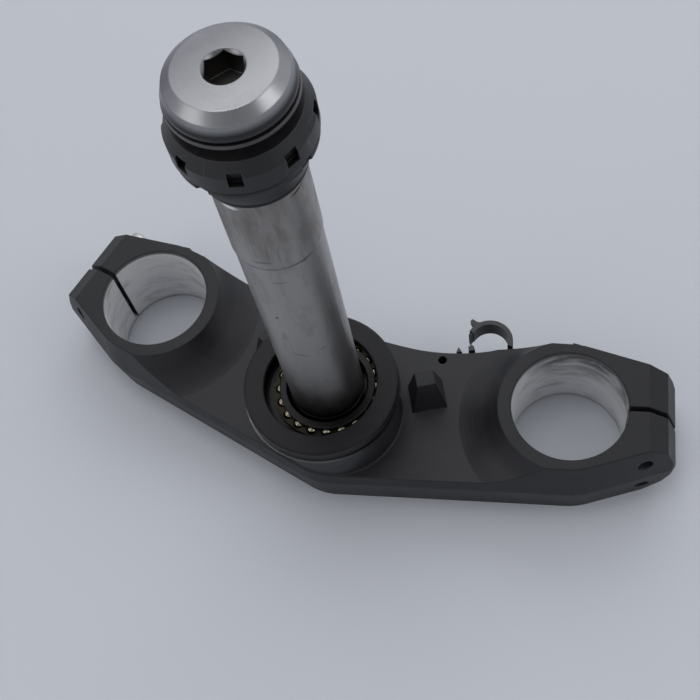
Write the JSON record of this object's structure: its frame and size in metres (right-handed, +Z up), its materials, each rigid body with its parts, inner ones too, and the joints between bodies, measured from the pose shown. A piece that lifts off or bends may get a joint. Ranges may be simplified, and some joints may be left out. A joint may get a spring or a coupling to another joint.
{
  "type": "motorcycle lower triple clamp with steering stem",
  "caption": "Lower fork yoke with a hollow steering stem, ring nuts, cap bolt, lower bearing, loose dust seal and a broken hose clip.",
  "frame": {"origin": "On the axis of the steering stem, level with the flat underside of the yoke.", "axes": "+X along the line of the fork clamps, towards the clamp with the hose clip; +Y towards the front of the motorcycle; +Z up the stem."},
  "size_m": [0.3214, 0.1064, 0.2862],
  "materials": {
    "yoke": "satin black anodised forging",
    "steering_stem": "turned, satin, scuffed",
    "stem_circlip": "spring steel",
    "inner_race": "ground, greasy",
    "ball_cage": "pressed steel under old grease",
    "bearing_balls": "polished, greasy",
    "seal_carrier": "plain steel",
    "dust_seal": "matt black rubber",
    "rubber_ring": "matt black rubber",
    "adjusting_nut": "black oxide",
    "tab_washer": "black oxide",
    "lock_nut": "black oxide, worn at the edges",
    "stem_washer": "plain steel",
    "cap_bolt": "bright turned",
    "left_upper_pinch_bolt": "zinc plated",
    "left_lower_pinch_bolt": "zinc plated",
    "hose_clip": "black plastic",
    "clip_screw": "zinc plated"
  },
  "bodies": {
    "clamp": {"yoke": "yoke", "steering_stem": "steering_stem", "stem_circlip": "stem_circlip", "inner_race": "inner_race", "seal_carrier": "seal_carrier", "dust_seal": "dust_seal", "rubber_ring": "rubber_ring", "adjusting_nut": "adjusting_nut", "tab_washer": "tab_washer", "lock_nut": "lock_nut", "stem_washer": "stem_washer", "cap_bolt": "cap_bolt", "left_upper_pinch_bolt": "left_upper_pinch_bolt", "left_lower_pinch_bolt": "left_lower_pinch_bolt", "hose_clip": "hose_clip", "clip_screw": "clip_screw"},
    "ball_ring": {"ball_cage": "ball_cage", "bearing_balls": "bearing_balls"}
  },
  "joints": [
    {"name": "ball_cage_spin", "type": "hinge", "parent": "clamp", "child": "ball_ring", "pos_m": [0, 0, 0.0592], "axis": [0, 0, 1], "continuous": true}
  ]
}
